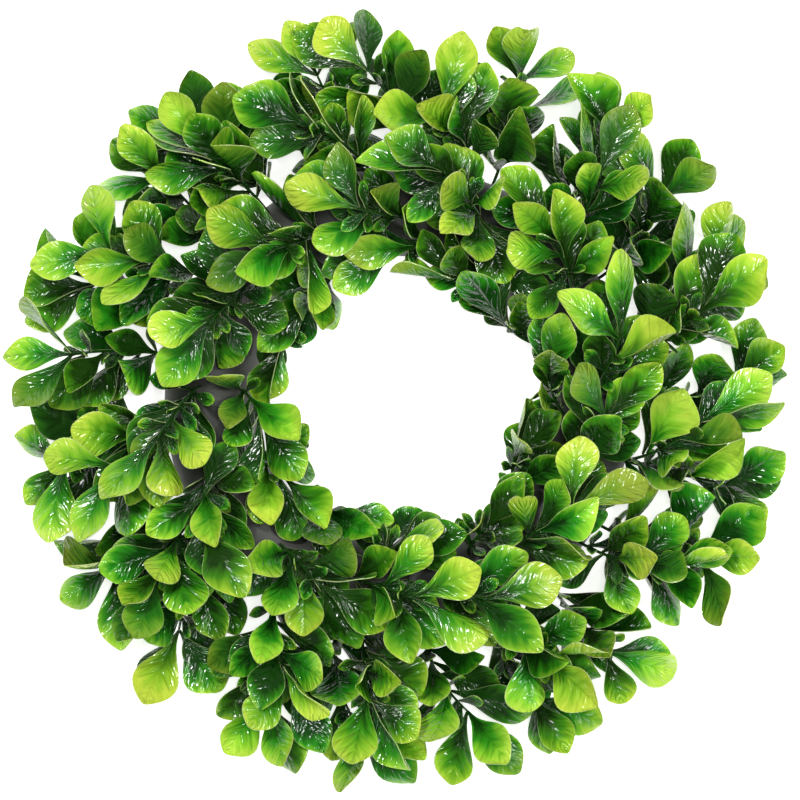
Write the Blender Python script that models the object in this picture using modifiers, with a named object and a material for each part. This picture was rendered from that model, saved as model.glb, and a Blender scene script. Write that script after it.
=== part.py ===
"""An artificial boxwood wreath that lies on its back: green plastic sprays standing in a ring.

The origin is in the middle of the hole, at the level of the ring's flat back, with +Z towards the
viewer. Each spray is one moulding of a stem and its leaves, and its stem stands in a socket of the ring.
"""

import math
import random
from dataclasses import dataclass, field

import bmesh
import bpy
from mathutils import Matrix, Vector
from mathutils.bvhtree import BVHTree
from mathutils.kdtree import KDTree

# The ring is half-round with a flat back
RING_INNER_RADIUS = 0.0750
RING_OUTER_RADIUS = 0.1225
RING_HEIGHT = 0.0280
RING_STEPS = 36
RING_ARC_STEPS = 6
RING_MIDDLE = (RING_INNER_RADIUS + RING_OUTER_RADIUS) / 2
RING_HALF_WIDTH = (RING_OUTER_RADIUS - RING_INNER_RADIUS) / 2

# A stem stands in a blind socket that is square to the ring's surface
STEM_RADIUS = 0.0010
STEM_GAP = 0.0003
STEM_FOOT = 0.0077
STEM_COLLAR = 0.0030
SOCKET_SIDES = 4
SOCKET_MOUTH = 0.0030
SOCKET_RADIUS = (STEM_RADIUS + STEM_GAP) / math.cos(math.pi / SOCKET_SIDES)

# How stems vary: their place along the row, their length, and how they lean
PLACE_SCATTER = 0.18
STEM_LENGTHS = (0.86, 1.08)
SWAY_UP_SHARE = 0.4
LEAN_FIRST, LEAN_LAST = 0.6, 1.3
STEM_SPACING = 6 * STEM_RADIUS
STEM_SAMPLE = 0.0015

# The space that the foliage keeps to: its round outer edge is a little to the left, and the hole, whose
# edge is wavy, a little to the right
WREATH_RADIUS = 0.2035
WREATH_ASIDE = -0.0010
HOLE_RADIUS = 0.0580
HOLE_ASIDE = 0.0060
HOLE_WAVES = 5
HOLE_WAVE = 0.0060
LOWEST_LEAF = 0.0025
HIGHEST_LEAF = 0.0850
LEAF_CLEARANCE = 0.0004
RING_CLEARANCE = 0.0010

# A blade is spoon-shaped: a wedge from its root to its widest, and a round tip
BLADE_THICKNESS = 0.0008
BLADE_TIP = 0.965
BLADE_MIDDLE = 0.6
WIDEST_POWER = 1.75
OUTLINE_POWER = 0.85
STEP_POWER = 0.75
LARGE_LEAF_STEPS = 3
SMALL_LEAF_STEPS = 2
WIDTH_SHARES = (0.48, 0.62)
# The mean and the spread of how far a blade bends, folds and twists
BENDS = (-0.04, 0.17)
CUPS = (0.05, 0.52)
TWISTS = (0.0, 0.40)
SMALL_LEAF_SHARE = 0.42
SMALL_WIDTH_SHARE = 0.48
SMALL_CURL = 0.4
SMALL_SPREAD = 14

# A blade faces the viewer, turned outwards from the ring and up its stem, and strays at random: most a
# little, some so far that their edge shows, and a few are turned over
FACE_UP, FACE_OUT, FACE_STEM = 1.2, 0.55, 0.3
FACE_STRAYS = (0.50, 1.60)
TURNED_CHANCE = 0.34
TURNED_OVER = 0.08
WHORL_SCATTER = 0.06
UPRIGHT_CHANCE = 0.4
UPRIGHT_SHARE = 0.4

# Each leaf is the best of a few that keep clear of the rest: a large one covers the most bare squares,
# and a small one is nearest to the viewer
SEED = 416
STEM_TRIES = 30
LEAF_TRIES = 60
LARGE_LEAF_CHOICES = 10
SMALL_LEAF_CHOICES = 5
SHRINK_WHILE_TRYING = 0.22
ROOT_LEFT_OUT = 0.14
LEAF_REACH = 0.68
COVER_CELL = 0.005
COVER_ROWS, COVER_HALF_COLUMNS = 7, 2

WELD = 0.00001
LEAF_COLOUR = (0.105, 0.319, 0.030)
LEAF_ROUGHNESS = 0.32
RING_COLOUR = (0.070, 0.065, 0.055)
RING_ROUGHNESS = 0.6


@dataclass(frozen=True)
class Whorl:
    """Leaves that grow from the stem at one share of its height above the ring."""

    at: float
    large: int
    small: int = 0


@dataclass(frozen=True)
class Row:
    """A row of like sprays round the ring. Angles are in degrees.

    elevation is where on the half-round a stem stands, from 0 on the outer side to 180 on the inner.
    lean is how far the stems lean round the ring and over it. flow is how strongly the leaves point away
    from the middle of the hole and round the ring.
    """

    name: str
    count: int
    elevation: float
    scatter: float
    phase: float
    stem_length: float
    lean: tuple
    flow: tuple
    sway: float
    whorls: tuple
    spread: tuple
    leaf_length: tuple


ROWS = (
    Row(
        name="outer_spray",
        count=21,
        elevation=13,
        scatter=5,
        phase=0.0,
        stem_length=0.054,
        lean=(14, 4),
        flow=(1.6, 0.7),
        sway=20,
        whorls=(Whorl(0.30, 2), Whorl(0.65, 2, 1), Whorl(1.0, 3)),
        spread=(14, 58),
        leaf_length=(0.034, 0.046),
    ),
    Row(
        name="shoulder_spray",
        count=13,
        elevation=44,
        scatter=9,
        phase=0.5,
        stem_length=0.050,
        lean=(38, -12),
        flow=(2.2, 1.7),
        sway=26,
        whorls=(Whorl(0.30, 2), Whorl(0.65, 2), Whorl(1.0, 2)),
        spread=(14, 56),
        leaf_length=(0.034, 0.046),
    ),
    Row(
        name="crown_spray",
        count=13,
        elevation=88,
        scatter=14,
        phase=0.2,
        stem_length=0.050,
        lean=(60, -14),
        flow=(1.3, 2.6),
        sway=28,
        whorls=(Whorl(0.30, 2), Whorl(0.65, 2), Whorl(1.0, 2)),
        spread=(14, 60),
        leaf_length=(0.034, 0.045),
    ),
    Row(
        name="inner_spray",
        count=12,
        elevation=130,
        scatter=12,
        phase=0.7,
        stem_length=0.026,
        lean=(62, 6),
        flow=(-1.4, 1.6),
        sway=20,
        whorls=(Whorl(0.45, 2), Whorl(1.0, 3)),
        spread=(16, 66),
        leaf_length=(0.032, 0.042),
    ),
)


@dataclass
class Leaf:
    """A blade: where its root is, where it points and faces, and its form."""

    root: Vector
    along: Vector
    face: Vector
    length: float
    width: float
    bend: float
    cup: float
    twist: float
    steps: int

    def place(self, share, side, margin=0.0):
        """The point at this share of the length, with side from -1 to 1 across it."""
        half = self.width / 2 * outline(share) + margin
        rise = self.bend * share * share * self.length + (self.cup / 2 + self.twist * side * share) * half
        across = self.along.cross(self.face)
        return self.root + self.along * (share * self.length) + across * (side * half) + self.face * rise

    def middle(self):
        """The middle of the blade."""
        return self.place(BLADE_MIDDLE, 0)

    def cells(self):
        """The small squares that the blade covers, seen from the front."""
        found = set()
        for row in range(1, COVER_ROWS + 1):
            for column in range(-COVER_HALF_COLUMNS, COVER_HALF_COLUMNS + 1):
                place = self.place(row / COVER_ROWS, column / COVER_HALF_COLUMNS)
                found.add((round(place.x / COVER_CELL), round(place.y / COVER_CELL)))
        return found


@dataclass
class Spray:
    """A stem, as points from its foot to its tip, and the leaves on it."""

    name: str
    row: Row
    stem: list
    leaves: list = field(default_factory=list)

    def at(self, share):
        """The point at this share of the stem above the ring, and the stem's direction there."""
        pairs = list(zip(self.stem[1:], self.stem[2:]))
        left = share * sum((b - a).length for a, b in pairs)
        for a, b in pairs:
            length = (b - a).length
            if left <= length or b is self.stem[-1]:
                return a + (b - a) * (left / length), (b - a).normalized()
            left -= length

    def samples(self):
        """Points a short step apart along the whole stem."""
        found = []
        for a, b in zip(self.stem, self.stem[1:]):
            steps = max(1, round((b - a).length / STEM_SAMPLE))
            found += [a + (b - a) * (i / steps) for i in range(steps)]
        return found + [self.stem[-1]]


@dataclass
class Placed:
    """A leaf that is placed, with what the tests of the next ones read."""

    name: str
    leaf: Leaf
    middle: Vector
    tree: BVHTree
    free: BVHTree


def outline(share):
    """Half the width of a blade at this share of its length, as a share of its widest."""
    return max(math.sin(math.pi * share**WIDEST_POWER), 0.0) ** OUTLINE_POWER


def radial(turn):
    """The unit vector that points out from the middle of the hole at this angle."""
    return Vector((math.cos(turn), math.sin(turn), 0))


def hole_limit(place):
    """How near to the middle of the hole a leaf may come, in this direction."""
    turn = math.atan2(place.y, place.x)
    return HOLE_RADIUS + HOLE_WAVE * math.sin(HOLE_WAVES * turn)


def ring_surface(turn, elevation):
    """The point on the ring's round face and the direction square to it there."""
    out, up = math.cos(elevation), math.sin(elevation)
    point = radial(turn) * (RING_MIDDLE + RING_HALF_WIDTH * out) + Vector((0, 0, RING_HEIGHT * up))
    square = radial(turn) * (out / RING_HALF_WIDTH) + Vector((0, 0, up / RING_HEIGHT))
    return point, square.normalized()


def in_ring(point, clearance):
    """True if the point is in the ring or within the clearance of it."""
    out = abs(math.hypot(point.x, point.y) - RING_MIDDLE) / (RING_HALF_WIDTH + clearance)
    up = point.z / (RING_HEIGHT + clearance)
    return out * out + up * up < 1


def square_to(vector, along):
    """The part of the vector that is square to along, as a unit vector."""
    return (vector - along * vector.dot(along)).normalized()


def any_way(rng):
    """A random vector with no favoured direction."""
    return Vector((rng.gauss(0, 1), rng.gauss(0, 1), rng.gauss(0, 1)))


def draw_stem(row, number, rng):
    """The points of a stem that leaves the ring square to it and then leans."""
    turn = math.tau * (number + row.phase + rng.uniform(-PLACE_SCATTER, PLACE_SCATTER)) / row.count
    base, square = ring_surface(turn, math.radians(row.elevation + rng.uniform(-row.scatter, row.scatter)))
    around = Vector((-math.sin(turn), math.cos(turn), 0))
    over = square.cross(around)
    sway = math.radians(row.sway)
    lean_around, lean_over = (math.radians(angle) for angle in row.lean)
    lean = around * (lean_around + rng.uniform(-sway, sway))
    lean += over * (lean_over + SWAY_UP_SHARE * rng.uniform(-sway, sway))
    half = (row.stem_length * rng.uniform(*STEM_LENGTHS) - STEM_COLLAR) / 2
    collar = base + square * STEM_COLLAR
    bend = collar + (square + lean * LEAN_FIRST).normalized() * half
    tip = bend + (square + lean * LEAN_LAST).normalized() * half
    return [base - square * STEM_FOOT, collar, bend, tip]


def place_stems():
    """Every spray with its stem, each redrawn until it keeps off the others."""
    sprays, taken = [], []
    for row_number, row in enumerate(ROWS):
        for number in range(row.count):
            rng = random.Random(SEED + 10000 * row_number + 100 * number)
            for _ in range(STEM_TRIES):
                spray = Spray(f"{row.name}_{number + 1:02d}", row, draw_stem(row, number, rng))
                samples = spray.samples()
                if all((a - b).length > STEM_SPACING for b in taken for a in samples):
                    break
            taken += samples
            sprays.append(spray)
    return sprays


def leaf_flow(row, point):
    """The way that the row's leaves favour at this point: away from the hole's middle, and round it."""
    out, around = row.flow
    away = Vector((point.x, point.y, 0)).normalized()
    return away * out + Vector((-away.y, away.x, 0)) * around


def draw_leaf(spray, whorl, small, rng, attempt):
    """A leaf of this whorl, drawn at random round the stem. It gets smaller with each attempt."""
    row = spray.row
    tip = whorl.at == 1.0
    point, direction = spray.at(whorl.at if tip else whorl.at + rng.uniform(-WHORL_SCATTER, WHORL_SCATTER))
    beside = square_to(any_way(rng) + leaf_flow(row, point), direction)
    low, high = (row.spread[1] - SMALL_SPREAD, row.spread[1] + SMALL_SPREAD) if small else row.spread
    angle = math.radians(rng.uniform(low, high))
    if tip and rng.random() < UPRIGHT_CHANCE:
        angle *= UPRIGHT_SHARE
    along = (direction * math.cos(angle) + beside * math.sin(angle)).normalized()
    length = rng.uniform(*row.leaf_length) * (1 - SHRINK_WHILE_TRYING * attempt / LEAF_TRIES)
    width = length * rng.uniform(*WIDTH_SHARES)
    bend, cup, twist = (rng.gauss(*spread) for spread in (BENDS, CUPS, TWISTS))
    steps = LARGE_LEAF_STEPS
    if small:
        length *= SMALL_LEAF_SHARE
        width, steps = length * SMALL_WIDTH_SHARE, SMALL_LEAF_STEPS
        bend, cup, twist = (SMALL_CURL * value for value in (bend, cup, twist))
    face = blade_face(point + along * row.leaf_length[0], along, direction, rng)
    if rng.random() < TURNED_OVER:
        face = -face
    root = point - direction * (STEM_RADIUS if tip else 0)
    return Leaf(root, along, face, length, width, bend, cup, twist, steps)


def blade_face(end, along, stem_direction, rng):
    """The way that a blade faces: towards the viewer, off the ring and up the stem, with a stray."""
    outwards = (end - radial(math.atan2(end.y, end.x)) * RING_MIDDLE).normalized()
    wanted = Vector((0, 0, FACE_UP)) + outwards * FACE_OUT + stem_direction * FACE_STEM
    stray = FACE_STRAYS[rng.random() < TURNED_CHANCE]
    return square_to(wanted + any_way(rng) * stray, along)


def blade_shell(leaf, thickness, margin=0.0, left_out=0.0):
    """A closed bmesh of the blade: a strip of triangles from root to tip, given a thickness."""
    shell = bmesh.new()
    bmesh.ops.create_grid(shell, x_segments=1, y_segments=leaf.steps, size=1)
    bmesh.ops.triangulate(shell, faces=shell.faces[:], quad_method="FIXED")
    for vert in shell.verts:
        side, row = vert.co.x, (vert.co.y + 1) / 2
        share = left_out + (BLADE_TIP - left_out) * row**STEP_POWER
        vert.co = leaf.place(share, side, margin * row) - leaf.face * (thickness / 2)
    bmesh.ops.remove_doubles(shell, verts=shell.verts[:], dist=WELD)
    grown = bmesh.ops.extrude_face_region(shell, geom=shell.faces[:], use_keep_orig=True)
    top = [item for item in grown["geom"] if isinstance(item, bmesh.types.BMVert)]
    bmesh.ops.translate(shell, verts=top, vec=leaf.face * thickness)
    bmesh.ops.recalc_face_normals(shell, faces=shell.faces[:])
    return shell


def tree_of(shell):
    """The search tree of a bmesh, which is freed."""
    tree = BVHTree.FromBMesh(shell)
    shell.free()
    return tree


def free_tree(leaf):
    """The search tree of a blade without its root, which its own spray's leaves may cross."""
    return tree_of(blade_shell(leaf, BLADE_THICKNESS, 0.0, ROOT_LEFT_OUT))


def in_bounds(shell):
    """True if the blade stays in the wreath's space and off the ring."""
    places = [v.co for v in shell.verts] + [(e.verts[0].co + e.verts[1].co) / 2 for e in shell.edges]
    for place in places:
        off_hole = math.hypot(place.x - HOLE_ASIDE, place.y) > hole_limit(place)
        in_plan = off_hole and math.hypot(place.x - WREATH_ASIDE, place.y) < WREATH_RADIUS
        if not (in_plan and LOWEST_LEAF < place.z < HIGHEST_LEAF) or in_ring(place, RING_CLEARANCE):
            return False
    return True


class Thicket:
    """What is placed so far, and the test that a new leaf keeps clear of it."""

    def __init__(self, sprays):
        samples = [(sample, spray.name) for spray in sprays for sample in spray.samples()]
        self.owners = [name for _, name in samples]
        self.stems = KDTree(len(samples))
        for index, (sample, _) in enumerate(samples):
            self.stems.insert(sample, index)
        self.stems.balance()
        self.blades, self.covered = [], set()

    def clear(self, name, leaf):
        """True if the leaf keeps clear of the ring, of other sprays, and of its own spray's blades."""
        shell = blade_shell(leaf, BLADE_THICKNESS + 2 * LEAF_CLEARANCE, LEAF_CLEARANCE)
        if not in_bounds(shell):
            shell.free()
            return False
        tree = tree_of(shell)
        return self.off_stems(name, leaf, tree) and self.off_blades(name, leaf, tree)

    def off_stems(self, name, leaf, tree):
        """True if no other spray's stem is near the blade."""
        near = STEM_RADIUS + LEAF_CLEARANCE
        for sample, index, _ in self.stems.find_range(leaf.middle(), leaf.length * LEAF_REACH + near):
            if self.owners[index] != name and tree.find_nearest(sample, near)[0]:
                return False
        return True

    def off_blades(self, name, leaf, tree):
        """True if the blade crosses no other one, apart from the roots of its own spray's."""
        middle, free = leaf.middle(), free_tree(leaf)
        for other in self.blades:
            if (middle - other.middle).length > (leaf.length + other.leaf.length) * LEAF_REACH:
                continue
            if free.overlap(other.free) if other.name == name else tree.overlap(other.tree):
                return False
        return True

    def bare_cells(self, leaf):
        """How many small squares, seen from the front, the blade covers that no other one does."""
        return len(leaf.cells() - self.covered)

    def add(self, name, leaf):
        """Adds a leaf that is placed."""
        tree = tree_of(blade_shell(leaf, BLADE_THICKNESS))
        self.blades.append(Placed(name, leaf, leaf.middle(), tree, free_tree(leaf)))
        self.covered |= leaf.cells()


def place_leaf(thicket, spray, whorl, small, seed):
    """Adds the best leaf of a few that keep clear of the rest."""
    rng = random.Random(seed)
    choices = []
    for attempt in range(LEAF_TRIES):
        leaf = draw_leaf(spray, whorl, small, rng, attempt)
        if thicket.clear(spray.name, leaf):
            worth = leaf.middle().z if small else thicket.bare_cells(leaf)
            choices.append((worth, -attempt, leaf))
        if len(choices) == (SMALL_LEAF_CHOICES if small else LARGE_LEAF_CHOICES):
            break
    if choices:
        leaf = max(choices, key=lambda choice: choice[:2])[2]
        thicket.add(spray.name, leaf)
        spray.leaves.append(leaf)


def place_leaves(sprays):
    """Puts the large leaves on every spray, whorl by whorl from its tip down, and then the small ones."""
    thicket = Thicket(sprays)
    for small in (False, True):
        for number, spray in enumerate(sprays, 1):
            for level, whorl in enumerate(reversed(spray.row.whorls)):
                for index in range(whorl.small if small else whorl.large):
                    seed = SEED + 1000 * number + 100 * small + 10 * level + index
                    place_leaf(thicket, spray, whorl, small, seed)


def clear_scene():
    """Removes what the scene holds."""
    for item in list(bpy.data.objects):
        bpy.data.objects.remove(item, do_unlink=True)


def new_collection(name):
    """A new collection in the scene."""
    made = bpy.data.collections.new(name)
    bpy.context.scene.collection.children.link(made)
    return made


def plastic(name, colour, roughness):
    """A Principled material of moulded plastic."""
    made = bpy.data.materials.new(name)
    made.use_nodes = True
    shader = made.node_tree.nodes["Principled BSDF"]
    shader.inputs["Base Color"].default_value = (*colour, 1)
    shader.inputs["Roughness"].default_value = roughness
    shader.inputs["Metallic"].default_value = 0
    return made


def mesh_object(name, shell, collection, material):
    """An object of this bmesh, which is freed."""
    mesh = bpy.data.meshes.new(name)
    shell.to_mesh(mesh)
    shell.free()
    made = bpy.data.objects.new(name, mesh)
    mesh.materials.append(material)
    collection.objects.link(made)
    return made


def ring_profile():
    """The ring's half-round section, down its outer side, across the flat back and up again."""
    section = bmesh.new()
    corners = []
    for step in range(RING_ARC_STEPS, -1, -1):
        elevation = math.pi * step / RING_ARC_STEPS
        out, up = RING_HALF_WIDTH * math.cos(elevation), RING_HEIGHT * math.sin(elevation)
        corners.append(section.verts.new((RING_MIDDLE + out, 0, up)))
    for a, b in zip(corners, corners[1:] + corners[:1]):
        section.edges.new((a, b))
    return section


def socket_cutter(stem, collection, material):
    """A few-sided plug that cuts a stem's socket."""
    foot, collar = stem[0], stem[1]
    square = (collar - foot).normalized()
    bottom, mouth = foot - square * STEM_GAP, collar + square * SOCKET_MOUTH
    plug = bmesh.new()
    bmesh.ops.create_cone(
        plug,
        cap_ends=True,
        segments=SOCKET_SIDES,
        radius1=SOCKET_RADIUS,
        radius2=SOCKET_RADIUS,
        depth=(mouth - bottom).length,
        matrix=Matrix.Translation((bottom + mouth) / 2) @ square.to_track_quat("Z", "Y").to_matrix().to_4x4(),
    )
    cutter = mesh_object("socket_cutter", plug, collection, material)
    cutter.hide_render = True
    cutter.display_type = "WIRE"


def make_ring(sprays, wreath, material):
    """The ring: a half-round section turned about Z, with a socket for each stem."""
    ring = mesh_object("ring_base", ring_profile(), wreath, material)
    turned = ring.modifiers.new("turned", "SCREW")
    turned.steps = turned.render_steps = RING_STEPS
    turned.use_merge_vertices = True
    turned.merge_threshold = WELD
    turned.use_smooth_shade = False
    cutters = new_collection("cutters")
    for spray in sprays:
        socket_cutter(spray.stem, cutters, material)
    sockets = ring.modifiers.new("sockets", "BOOLEAN")
    sockets.operation = "DIFFERENCE"
    sockets.operand_type = "COLLECTION"
    sockets.collection = cutters


def stem_tube(stem):
    """A bmesh of a stem: a few-sided tube along its points, with its caps welded."""
    path = bpy.data.curves.new("stem", "CURVE")
    path.dimensions = "3D"
    path.bevel_depth = STEM_RADIUS
    path.bevel_resolution = 0
    path.use_fill_caps = True
    line = path.splines.new("POLY")
    line.points.add(len(stem) - 1)
    for knot, place in zip(line.points, stem):
        knot.co = (*place, 1)
    guide = bpy.data.objects.new("stem_guide", path)
    bpy.context.scene.collection.objects.link(guide)
    graph = bpy.context.evaluated_depsgraph_get()
    tube = bmesh.new()
    tube.from_mesh(bpy.data.meshes.new_from_object(guide.evaluated_get(graph)))
    bpy.data.objects.remove(guide, do_unlink=True)
    bmesh.ops.remove_doubles(tube, verts=tube.verts[:], dist=WELD)
    return tube


def make_spray(spray, wreath, material):
    """One spray: its stem with its leaves joined to it."""
    made = mesh_object(spray.name, stem_tube(spray.stem), wreath, material)
    blades = new_collection("blades")
    for leaf in spray.leaves:
        mesh_object("blade", blade_shell(leaf, BLADE_THICKNESS), blades, material)
    joined = made.modifiers.new("joined", "BOOLEAN")
    joined.operation = "UNION"
    joined.operand_type = "COLLECTION"
    joined.collection = blades
    graph = bpy.context.evaluated_depsgraph_get()
    whole = bpy.data.meshes.new_from_object(made.evaluated_get(graph))
    made.modifiers.clear()
    made.data = whole
    for blade in list(blades.objects):
        bpy.data.objects.remove(blade, do_unlink=True)
    bpy.data.collections.remove(blades)


def main():
    """Builds the ring and every spray."""
    clear_scene()
    wreath = new_collection("boxwood_wreath")
    sprays = place_stems()
    place_leaves(sprays)
    make_ring(sprays, wreath, plastic("ring_plastic", RING_COLOUR, RING_ROUGHNESS))
    leaf_plastic = plastic("leaf_plastic", LEAF_COLOUR, LEAF_ROUGHNESS)
    for spray in sprays:
        make_spray(spray, wreath, leaf_plastic)


main()
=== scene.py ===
import logging
import math
import random
from dataclasses import dataclass, field
from enum import Enum

import bmesh
import bpy
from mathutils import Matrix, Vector
from mathutils.bvhtree import BVHTree
from mathutils.kdtree import KDTree


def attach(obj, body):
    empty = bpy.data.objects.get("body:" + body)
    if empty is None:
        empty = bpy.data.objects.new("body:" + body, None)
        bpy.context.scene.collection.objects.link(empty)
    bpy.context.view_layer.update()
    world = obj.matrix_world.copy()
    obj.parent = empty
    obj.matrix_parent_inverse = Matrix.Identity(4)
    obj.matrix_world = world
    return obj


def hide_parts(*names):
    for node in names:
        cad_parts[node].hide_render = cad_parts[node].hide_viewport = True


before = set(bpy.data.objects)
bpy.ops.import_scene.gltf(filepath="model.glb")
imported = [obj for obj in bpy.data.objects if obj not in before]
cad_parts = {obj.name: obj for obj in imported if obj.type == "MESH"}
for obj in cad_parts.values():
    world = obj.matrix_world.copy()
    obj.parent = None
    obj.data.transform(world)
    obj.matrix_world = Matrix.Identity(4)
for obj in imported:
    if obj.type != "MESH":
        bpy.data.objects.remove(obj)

MM = 0.001
Socket = bpy.types.NodeSocket
NodeTree = bpy.types.NodeTree
Material = bpy.types.Material
Shell = bmesh.types.BMesh
Layer = bmesh.types.BMLayerItem
logging.basicConfig(level=logging.INFO, format="%(message)s")
log = logging.getLogger("boxwood_wreath")


class Size(Enum):
    """The two sizes of leaf on a spray."""

    LARGE = "large"
    SMALL = "small"


@dataclass(frozen=True)
class RingForm:
    """The half-round ring and the way a stem stands in it, in metres."""

    inner_radius: float = 0.0750
    outer_radius: float = 0.1225
    height: float = 0.0280
    stem_radius: float = 0.0010
    stem_foot: float = 0.0077
    stem_collar: float = 0.0030

    @property
    def middle(self) -> float:
        """The radius of the middle of the ring's section."""
        return (self.inner_radius + self.outer_radius) / 2

    @property
    def half_width(self) -> float:
        """Half the width of the ring's section."""
        return (self.outer_radius - self.inner_radius) / 2

    def surface(self, turn: float, elevation: float) -> tuple[Vector, Vector]:
        """Finds a place on the ring's round face.

        Args:
            turn: the angle round the wreath, in radians.
            elevation: the angle over the section, from 0 on its outer side.

        Returns:
            The point, and the direction square to the face there.
        """
        out, up = math.cos(elevation), math.sin(elevation)
        point = radial(turn) * (self.middle + self.half_width * out) + Vector((0, 0, self.height * up))
        square = radial(turn) * (out / self.half_width) + Vector((0, 0, up / self.height))
        return point, square.normalized()

    def holds(self, point: Vector, clearance: float) -> bool:
        """True if the point is in the ring or within the clearance of it."""
        out = abs(math.hypot(point.x, point.y) - self.middle) / (self.half_width + clearance)
        up = point.z / (self.height + clearance)
        return out * out + up * up < 1


@dataclass(frozen=True)
class Whorl:
    """Leaves that grow from the stem at one share of its height above the ring."""

    at: float
    large: int
    small: int = 0


@dataclass(frozen=True)
class Row:
    """A row of like sprays round the ring. Angles are in degrees, and lengths in metres."""

    name: str
    count: int
    elevation: float
    scatter: float
    phase: float
    stem_length: float
    lean: tuple
    flow: tuple
    sway: float
    spread: tuple
    leaf_length: tuple = (0.034, 0.046)
    whorls: tuple = (Whorl(0.30, 2), Whorl(0.65, 2), Whorl(1.0, 2))
    filling: tuple = (Whorl(0.12, 1, 2), Whorl(0.46, 2, 4), Whorl(0.82, 1, 4))


ROWS = (
    Row(
        name="outer_spray",
        count=21,
        elevation=13,
        scatter=5,
        phase=0.0,
        stem_length=0.054,
        lean=(14, 4),
        flow=(1.6, 0.7),
        sway=20,
        whorls=(Whorl(0.30, 2), Whorl(0.65, 2, 1), Whorl(1.0, 3)),
        spread=(14, 58),
        filling=(Whorl(0.12, 2, 2), Whorl(0.46, 1, 4), Whorl(0.82, 0, 4)),
    ),
    Row(
        name="shoulder_spray",
        count=13,
        elevation=44,
        scatter=9,
        phase=0.5,
        stem_length=0.050,
        lean=(38, -12),
        flow=(2.2, 1.7),
        sway=26,
        spread=(14, 56),
    ),
    Row(
        name="crown_spray",
        count=13,
        elevation=88,
        scatter=14,
        phase=0.2,
        stem_length=0.050,
        lean=(60, -14),
        flow=(1.3, 2.6),
        sway=28,
        spread=(14, 60),
        leaf_length=(0.034, 0.045),
    ),
    Row(
        name="inner_spray",
        count=12,
        elevation=130,
        scatter=12,
        phase=0.7,
        stem_length=0.026,
        lean=(62, 6),
        flow=(-1.4, 1.6),
        sway=20,
        whorls=(Whorl(0.45, 2), Whorl(1.0, 3)),
        spread=(16, 66),
        leaf_length=(0.032, 0.042),
        filling=(Whorl(0.22, 2, 3), Whorl(0.72, 1, 4)),
    ),
)


@dataclass(frozen=True)
class StemRules:
    """How stems vary. The leans are shares of the row's own, and spacing is in stem radii."""

    place_scatter: float = 0.18
    lengths: tuple = (0.86, 1.08)
    sway_up_share: float = 0.4
    lean_first: float = 0.6
    lean_last: float = 1.3
    tries: int = 30
    spacing: float = 6
    sample: float = 0.0015


@dataclass(frozen=True)
class LeafRules:
    """How blades are shaped, how they vary and what space they keep to. Lengths are in metres."""

    wreath_radius: float = 0.2035
    wreath_aside: float = -0.0010
    hole_radius: float = 0.0580
    hole_aside: float = 0.0060
    hole_waves: int = 5
    hole_wave: float = 0.0060
    lowest: float = 0.0025
    highest: float = 0.0850
    clearance: float = 0.0004
    ring_clearance: float = 0.0010
    thickness: float = 0.0008
    tip: float = 0.965
    middle: float = 0.6
    widest_power: float = 1.75
    outline_power: float = 0.85
    step_power: float = 0.75
    steps: tuple = (3, 2)
    width_shares: tuple = (0.48, 0.62)
    bends: tuple = (-0.04, 0.17)
    cups: tuple = (0.05, 0.52)
    twists: tuple = (0.0, 0.40)
    small_share: float = 0.42
    small_width_share: float = 0.48
    small_curl: float = 0.4
    small_spread: float = 14
    face_up: float = 1.2
    face_out: float = 0.55
    face_stem: float = 0.3
    face_strays: tuple = (0.50, 1.60)
    turned_chance: float = 0.34
    turned_over: float = 0.08
    whorl_scatter: float = 0.06
    upright_chance: float = 0.4
    upright_share: float = 0.4
    seed: int = 416
    filling_seed: int = 500000
    tries: int = 60
    choices: tuple = (10, 5)
    shrink: float = 0.22
    root_left_out: float = 0.14
    reach: float = 0.68
    cell: float = 0.005
    cell_rows: int = 7
    cell_half_columns: int = 2
    mend_radius: float = 0.130
    mend_margin: float = 0.008
    mend_reach: float = 0.036
    mend_tries: int = 30
    mend_stations: tuple = (0.12, 0.28, 0.44, 0.60, 0.76, 0.92)
    mend_lengths: tuple = (0.65, 1.0)
    mend_rises: tuple = (-0.5, 0.5, 1.0)


RING = RingForm()
STEMS = StemRules()
RULES = LeafRules()


def outline(share: float) -> float:
    """Half the width of a blade at this share of its length, as a share of its widest."""
    return max(math.sin(math.pi * share**RULES.widest_power), 0.0) ** RULES.outline_power


def hole_limit(place: Vector) -> float:
    """How near to the middle of the hole a leaf may come, in this direction."""
    turn = math.atan2(place.y, place.x)
    return RULES.hole_radius + RULES.hole_wave * math.sin(RULES.hole_waves * turn)


def radial(turn: float) -> Vector:
    """The unit vector that points out from the middle of the hole at this angle."""
    return Vector((math.cos(turn), math.sin(turn), 0))


def square_to(vector: Vector, along: Vector) -> Vector:
    """The part of the vector that is square to along, as a unit vector."""
    return (vector - along * vector.dot(along)).normalized()


def any_way(rng: random.Random) -> Vector:
    """A random vector with no favoured direction."""
    return Vector((rng.gauss(0, 1), rng.gauss(0, 1), rng.gauss(0, 1)))


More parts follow.
